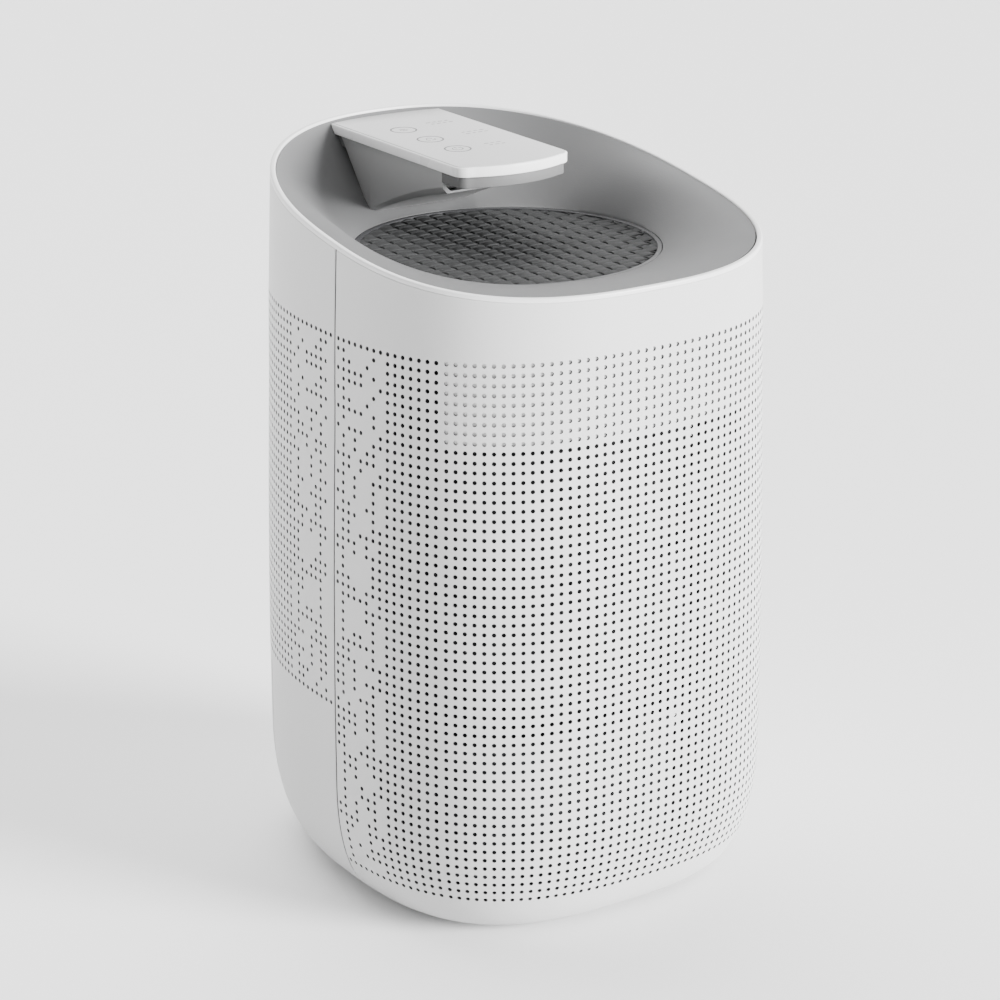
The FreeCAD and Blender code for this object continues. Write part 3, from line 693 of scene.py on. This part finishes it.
def deck_outline(inset, rear_extra=0.0):
    x1, yf = DX - inset, DFRONT + inset
    r_c = max(6.5 - inset, 0.8)
    r_bow = 58.0
    pts = []
    xb = x1 - r_c
    n = 24
    bow = [(-xb + 2 * xb * i / n, yf + r_bow - math.sqrt(r_bow ** 2 - (-xb + 2 * xb * i / n) ** 2))
           for i in range(n + 1)]
    sag = bow[0][1] - yf
    # rounded front corners, tangent to the bow and to the sides
    slope = math.atan2(xb, math.sqrt(r_bow ** 2 - xb * xb))
    cy = bow[-1][1] + r_c * math.cos(slope)
    cx = bow[-1][0] - r_c * math.sin(slope)
    scale = (x1 - cx) / r_c
    right = [(cx + r_c * scale * math.sin(t), cy - r_c * math.cos(t))
             for t in np.linspace(slope, math.pi / 2, 9)[1:]]
    off = float(side(343.0)) - WALL - 1.3 - inset - rear_extra
    back = []
    for i in range(n + 1):
        x = x1 - 2 * x1 * i / n
        y = (BR + off) * (1 - (abs(x) / (AX + off)) ** NR) ** (1 / NR)
        back.append((x, y))
    left = [(-x, y) for x, y in right[::-1]]
    side_r = [(x1, right[-1][1] + (back[0][1] - right[-1][1]) * t) for t in (0.25, 0.5, 0.75)]
    side_l = [(-x, y) for x, y in side_r[::-1]]
    return bow + right + side_r + back + side_l + left


def slab(levels, rear_extra=0.0):
    """levels: list of (inset, z). Stacks the deck's outline into a closed solid."""
    rings = [[(x, y, z) for x, y in deck_outline(i, rear_extra)] for i, z in levels]
    n = len(rings[0])
    v = [p for r in rings for p in r]
    f = []
    for k in range(len(rings) - 1):
        for j in range(n):
            m = (j + 1) % n
            f.append([k * n + j, k * n + m, (k + 1) * n + m, (k + 1) * n + j])
    f.append(list(range(n))[::-1])
    f.append([(len(rings) - 1) * n + j for j in range(n)])
    return v, f


def rounded(levels_z0, z1, r_low, r_top, inset=0.0, n=4):
    out = []
    for k in range(n + 1):
        a = math.pi / 2 * k / n
        out.append((inset + r_low * (1 - math.sin(a)), levels_z0 + r_low * (1 - math.cos(a))))
    for k in range(n + 1):
        a = math.pi / 2 * k / n
        out.append((inset + r_top * (1 - math.cos(a)), z1 - r_top * (1 - math.sin(a))))
    return out


def curve_z(y, pts):
    ys, zs = [q[0] for q in pts], [q[1] for q in pts]
    c = np.polyfit(ys, zs, 2)
    return float(np.polyval(c, y))


def build_arm():
    """Wedge between the funnel's rear wall and the tray, with a slot in its nose.

    The sides are flush with the tray. Under them the section turns in and down to a
    narrower keel, and the nose is open between the keel and the tray.
    """
    x1 = DX - 1.57
    zt = DTOP - DT - 0.06
    skirt = ((19.6, 330.0), (52.0, 320.0), (83.5, 306.4))
    keel = ((19.3, 326.9), (52.0, 317.6), (83.5, 305.2))
    ys = list(np.linspace(113.0, 85.0, 14)) + list(np.linspace(83.5, 18.5, 40))
    rings = []

    def section(y, inset, lift):
        zs, zk = curve_z(y, skirt) + lift, curve_z(y, keel) + lift
        if y > 83.5:
            zs, zk = (q + (y - 83.5) * 1.25 for q in (curve_z(83.5, skirt), curve_z(83.5, keel)))
        top = zt - (0.35 if 0 < lift < 0.5 else 6.0 if lift else 0.0)
        zs, zk = min(zs, top - 0.6), min(zk, top - 1.2)
        a, b = x1 - inset, x1 - 3.2 - inset
        half = [(a, top), (a, zs + 0.5), (a - 0.12, zs + 0.12), (a - 0.45, zs - 0.2), (b + 0.5, zk + 0.35),
                (b - 0.1, zk + 0.05), (b - 0.9, zk)]
        return [(x, y, z) for x, z in half] + [(-x, y, z) for x, z in half[::-1]]

    for y in ys:
        rings.append(section(y, 0.0, 0.0))
    for y, i, l in ((18.2, 0.35, 0.3), (18.2, 1.3, 1.0), (18.6, 1.5, 1.2), (36.0, 1.5, 1.2)):
        rings.append(section(y, i, l))
    m = len(rings[0])
    v = [p for r in rings for p in r]
    f = []
    for i in range(len(rings) - 1):
        for j in range(m):
            k = (j + 1) % m
            f.append([i * m + j, i * m + k, (i + 1) * m + k, (i + 1) * m + j])
    f.append(list(range(m))[::-1])
    f.append([(len(rings) - 1) * m + j for j in range(m)])
    return v, f


def build_weave():
    """Basket weave: broad flat strips along x and y that pass over and under each other."""
    v, f = [], []
    step = (8.3, 5.5)            # spacing of the crossings along x and along y
    gap, thick, rise = 0.6, 0.9, 0.75
    R = GR_R - 1.6
    zc = GR_Z - 1.75

    def strip(idx, axis):
        pitch, travel = step[1 - axis], step[axis]
        width = pitch - gap
        off = (idx + 0.5) * pitch
        if abs(off) - width / 2 > R - 1.0:
            return
        lo, hi = max(-width / 2, 0.6 - R - off), min(width / 2, R - 0.6 - off)
        if hi - lo < 1.4:
            return
        half = math.sqrt(R * R - min(abs(off + lo), abs(off + hi)) ** 2)
        n = max(int(half * 2 / (travel / 10)), 12)
        sgn = 1 if (idx % 2 == 0) == (axis == 0) else -1
        m, o = 9, len(v)
        for k in range(n + 1):
            u = -1.0 + 2.0 * k / n
            mid = (lo + hi) / 2
            sec = [(lo, -thick / 2), (lo, thick / 2 - 0.25), (lo + 0.14, thick / 2 - 0.07),
                   (lo + 0.45, thick / 2), (mid, thick / 2 + 0.1), (hi - 0.45, thick / 2),
                   (hi - 0.14, thick / 2 - 0.07), (hi, thick / 2 - 0.25), (hi, -thick / 2)]
            for w_, h_ in sec:
                t = u * math.sqrt(R * R - (off + w_) ** 2)      # the ends follow the ring
                w = math.sin(math.pi * t / travel)
                z = zc + sgn * rise * w * (1.5 - 0.5 * w * w)
                x, y = (t, off + w_) if axis == 0 else (off + w_, t)
                v.append((x, GR_Y + y, z + h_))
        for i in range(n):
            for j in range(m):
                k = (j + 1) % m
                f.append([o + i * m + j, o + i * m + k, o + (i + 1) * m + k, o + (i + 1) * m + j])
        f.append([o + j for j in range(m)][::-1])
        f.append([o + n * m + j for j in range(m)])

    for axis in (0, 1):
        count = int(R / step[1 - axis]) + 2
        for i in range(-count, count):
            strip(i, axis)
    return v, f


def ring_solid(r0, r1, z0, z1, cy, n=160, bevel=0.3):
    rows = []
    for r, z in ((r1, z0), (r1, z1 - bevel), (r1 - bevel, z1), (r0 + bevel, z1), (r0, z1 - bevel), (r0, z0)):
        a = np.linspace(0, 2 * np.pi, n, endpoint=False)
        rows.append(np.stack([r * np.cos(a), cy + r * np.sin(a), np.full(n, z)], -1))
    return swept_ring(rows)


def merge(parts):
    v, f = [], []
    for pv, pf in parts:
        o = len(v)
        v += [tuple(p) for p in pv]
        f += [[o + i for i in q] for q in pf]
    return v, f


# ------------------------------------------------------------- build the pieces
w = build_front()
piece("front_casing", w.v, w.f, "white_shell", replaces=["front_shell"], inside=w.inside)
w = build_rear()
piece("rear_casing", w.v, w.f, "white_shell", replaces=["rear_shell"], inside=w.inside)
w = build_drawer_front()
v, f = w.v, list(w.f)
for x in (-42.0, 42.0):            # ribs that tie the front to the tray behind it
    o = len(v)
    for y, inset in ((97.2, 0), (110.0, 0)):
        for dx in (-1.5, 1.5):
            for z in (26.0, 74.0):
                v.append([x + dx, y, z])
    f += [[o, o + 1, o + 3, o + 2], [o + 4, o + 6, o + 7, o + 5], [o, o + 4, o + 5, o + 1],
          [o + 2, o + 3, o + 7, o + 6], [o, o + 2, o + 6, o + 4], [o + 1, o + 5, o + 7, o + 3]]
piece("drawer_panel", v, f, "white_shell", "filter_drawer", ["drawer_front"])
v, f = build_rim()
piece("rim_bead", v, f, "rim_white", replaces=["rim_ring"])
v, f = build_funnel()
piece("funnel_liner", v, f, "grey_funnel", replaces=["outlet_funnel"])
v, f = build_arm()
piece("deck_arm", v, f, "arm_grey", replaces=["panel_arm"])
v, f = slab(rounded(DTOP - DT - TT, DTOP - DT - 0.05, 0.5, 0.1, 1.6), 1.0)
piece("deck_tray", v, f, "tray_grey", replaces=["panel_undertray"])
v, f = slab(rounded(DTOP - DT, DTOP - 0.35, 0.4, 0.45, 0.0))
piece("deck_slab", v, f, "deck_white", replaces=["control_deck"])
v, f = slab(rounded(DTOP - 1.08, DTOP - 0.02, 0.08, 0.3, 0.75))
piece("deck_skin", v, f, "film", replaces=["touch_film"])
v, f = build_weave()
piece("woven_grille", v, f, "grille_dark", replaces=["outlet_grille"], angle=50)
v, f = merge([ring_solid(GR_R - 2.6, GR_R - 0.25, GR_Z - 3.2, GR_Z - 0.1, GR_Y),
              ring_solid(GR_R - 5.0, GR_R - 2.3, GR_Z - 3.4, GR_Z - 2.7, GR_Y)])
piece("grille_edge", v, f, "black_abs", replaces=["grille_ring"])

# white wall close behind the upper front holes, between the two wider lands
w = Wall()
ls = np.linspace(-23.06 * PH, 23.06 * PH, 90)
lz = np.linspace(row_z(-24) + 2.3, row_z(-16) - 2.2, 12)
P, N = surface(np.tile(ls, (12, 1)), np.tile(lz[:, None], (1, 90)))
w.grid(P - N * (SKIN + 0.04), N, 1.2, False)
piece("upper_liner", w.v, w.f, "liner_white", replaces=["front_liner"])

# printed marks on the deck: three rings with simple icons, and rows of dashes
marks, pale = [], []
ZM = DTOP - 0.02


def flat_ring(cx, cy, r0, r1, a0=0.0, a1=2 * math.pi, n=64, h=0.03):
    closed = abs(a1 - a0 - 2 * math.pi) < 1e-6
    m = n if closed else n + 1
    v, f = [], []
    for k in range(m):
        a = a0 + (a1 - a0) * k / n
        for r in (r0, r1):
            for z in (ZM - 0.05, ZM + h):
                v.append((cx + r * math.cos(a), cy + r * math.sin(a), z))
    for k in range(n):
        p, q = 4 * k, 4 * ((k + 1) % m)
        f += [[p + 1, p + 3, q + 3, q + 1], [p, q, q + 2, p + 2], [p, p + 1, q + 1, q], [p + 2, q + 2, q + 3, p + 3]]
    if not closed:
        e = 4 * n
        f += [[0, 2, 3, 1], [e, e + 1, e + 3, e + 2]]
    return v, f


def dash(cx, cy, lx, ly, ang=0.0, h=0.03):
    c, s = math.cos(ang), math.sin(ang)
    v = []
    for z in (ZM - 0.05, ZM + h):
        for dx, dy in ((-lx, -ly), (lx, -ly), (lx, ly), (-lx, ly)):
            v.append((cx + (dx * c - dy * s) / 2, cy + (dx * s + dy * c) / 2, z))
    return v, [[3, 2, 1, 0], [4, 5, 6, 7], [0, 1, 5, 4], [1, 2, 6, 5], [2, 3, 7, 6], [3, 0, 4, 7]]


RX = -10.0
for n_, cy in enumerate((34.6, 58.4, 82.2)):
    marks.append(flat_ring(RX, cy, 5.7, 6.5))
    if n_ == 0:
        marks.append(flat_ring(RX, cy, 2.2, 2.7, math.radians(125), math.radians(415), 40))
        marks.append(dash(RX, cy + 2.2, 0.5, 2.4))
    elif n_ == 1:
        for k in range(3):
            a = math.radians(90 + 120 * k)
            marks.append(flat_ring(RX + 1.3 * math.cos(a), cy + 1.3 * math.sin(a), 1.05, 1.45,
                                   a - 1.9, a + 1.2, 20))
    else:
        for k, yy in enumerate((-1.5, 0.0, 1.5)):
            marks.append(dash(RX, cy + yy, 4.2 - 1.2 * abs(k - 1), 0.45))
for k, (cx, cy) in enumerate(((11.5, 34.5), (15.5, 60.5), (12.5, 87.0))):
    for r_ in range(2):
        for c_ in range(4 if k else 3):
            pale.append(dash(cx - 4.5 + 3.4 * c_ + 0.5 * r_, cy + 2.0 - 3.6 * r_, 2.3 - 0.5 * ((c_ + r_ + k) % 2), 0.8))
v, f = merge(marks)
piece("deck_marks", v, f, "mark")
v, f = merge(pale)
piece("deck_dashes", v, f, "mark_pale")

# feet with rounded edges
parts = []
for x, y in ((43, -43), (-43, -43), (44, 56), (-44, 56)):
    rings = [(8.8, 0.0), (9.6, 0.35), (10.0, 1.1), (10.0, 4.4), (9.6, 4.8)]
    n = 48
    v, f = [], []
    for r, z in rings:
        for k in range(n):
            a = 2 * math.pi * k / n
            v.append((x + r * math.cos(a), y + r * math.sin(a), z))
    for i in range(len(rings) - 1):
        for j in range(n):
            m = (j + 1) % n
            f.append([i * n + j, i * n + m, (i + 1) * n + m, (i + 1) * n + j])
    f.append(list(range(n))[::-1])
    f.append([(len(rings) - 1) * n + j for j in range(n)])
    parts.append((v, f))
v, f = merge(parts)
piece("rubber_feet", v, f, "rubber", replaces=["foot_pads"])

# ------------------------------------------------- finishes for the CAD's nodes
slot_of = {q["node"]: q["material_slot"] for q in frame["record"]["subparts"]}
for name, ob in frame["nodes"].items():
    m = MATS[slot_of[name]]
    if not ob.material_slots:
        ob.data.materials.append(m)
    for sl in ob.material_slots:
        sl.material = m

# ----------------------------------------------------------- floor, light, camera
fm = bpy.data.materials.new("floor")
fm.use_nodes = True
nt = fm.node_tree
bs = nt.nodes["Principled BSDF"]
nz = nt.nodes.new("ShaderNodeTexNoise")
nz.inputs["Scale"].default_value = 3.0
mx = nt.nodes.new("ShaderNodeMix")
mx.data_type = "RGBA"
mx.inputs[6].default_value = (0.93, 0.93, 0.93, 1)
mx.inputs[7].default_value = (0.95, 0.95, 0.95, 1)
nt.links.new(nz.outputs["Fac"], mx.inputs[0])
nt.links.new(mx.outputs[2], bs.inputs["Base Color"])
bs.inputs["Roughness"].default_value = 0.9
me = bpy.data.meshes.new("floor")
fv, ff = [], []
prof = [(-40.0, 0.0)] + [(4.0 + 2.0 * math.sin(math.pi / 2 * k / 12), 2.0 - 2.0 * math.cos(math.pi / 2 * k / 12))
                        for k in range(13)] + [(6.0, 8.0)]
rot = math.radians(-33.5)
for x in (-30.0, 30.0):
    for d, z in prof:
        fv.append((x * math.cos(rot) - d * math.sin(rot), x * math.sin(rot) + d * math.cos(rot), z - 0.0001))
n = len(prof)
for k in range(n - 1):
    ff.append([k, n + k, n + k + 1, k + 1])
me.from_pydata(fv, [], ff)
me.materials.append(fm)
for p in me.polygons:
    p.use_smooth = True
floor = bpy.data.objects.new("floor", me)
bpy.context.scene.collection.objects.link(floor)

world = bpy.data.worlds.new("studio")
bpy.context.scene.world = world
world.use_nodes = True
world.node_tree.nodes["Background"].inputs[0].default_value = (1, 1, 1, 1)
world.node_tree.nodes["Background"].inputs[1].default_value = 0.6

RIGHT = Vector((0.8336, -0.5524, 0.0))
FWD = Vector((0.5215, 0.7869, -0.3298))
UP = RIGHT.cross(FWD)
AIM = Vector((0.0, 0.0, 0.18))


def sun(name, toward, strength, spread):
    """A distant soft light; toward is the direction from the object to the light."""
    d = bpy.data.lights.new(name, "SUN")
    d.energy = strength
    d.angle = math.radians(spread)
    ob = bpy.data.objects.new(name, d)
    ob.location = AIM + Vector(toward).normalized() * 3.0
    ob.rotation_euler = (-Vector(toward)).to_track_quat("-Z", "Y").to_euler()
    bpy.context.scene.collection.objects.link(ob)
    return ob


sun("key", (0.56, -0.82, 0.24), 13.5, 24.0)
sun("top", (0.05, 0.50, 0.85), 3.8, 50.0)

cam = bpy.data.cameras.new("camera")
cam.lens = 112.9
cam.sensor_width = 36.0
cam.clip_start, cam.clip_end = 0.05, 60.0
co = bpy.data.objects.new("camera", cam)
loc = Vector((-177.78 * U, -265.04 * U - SHIFT_Y, (112.711 + 38.907) * U + FOOT)) * MM
f_ = FWD.normalized()
r_ = RIGHT.normalized()
u_ = r_.cross(f_).normalized()
co.matrix_world = Matrix(((r_.x, u_.x, -f_.x, loc.x), (r_.y, u_.y, -f_.y, loc.y),
                          (r_.z, u_.z, -f_.z, loc.z), (0, 0, 0, 1)))
bpy.context.scene.collection.objects.link(co)
bpy.context.scene.camera = co

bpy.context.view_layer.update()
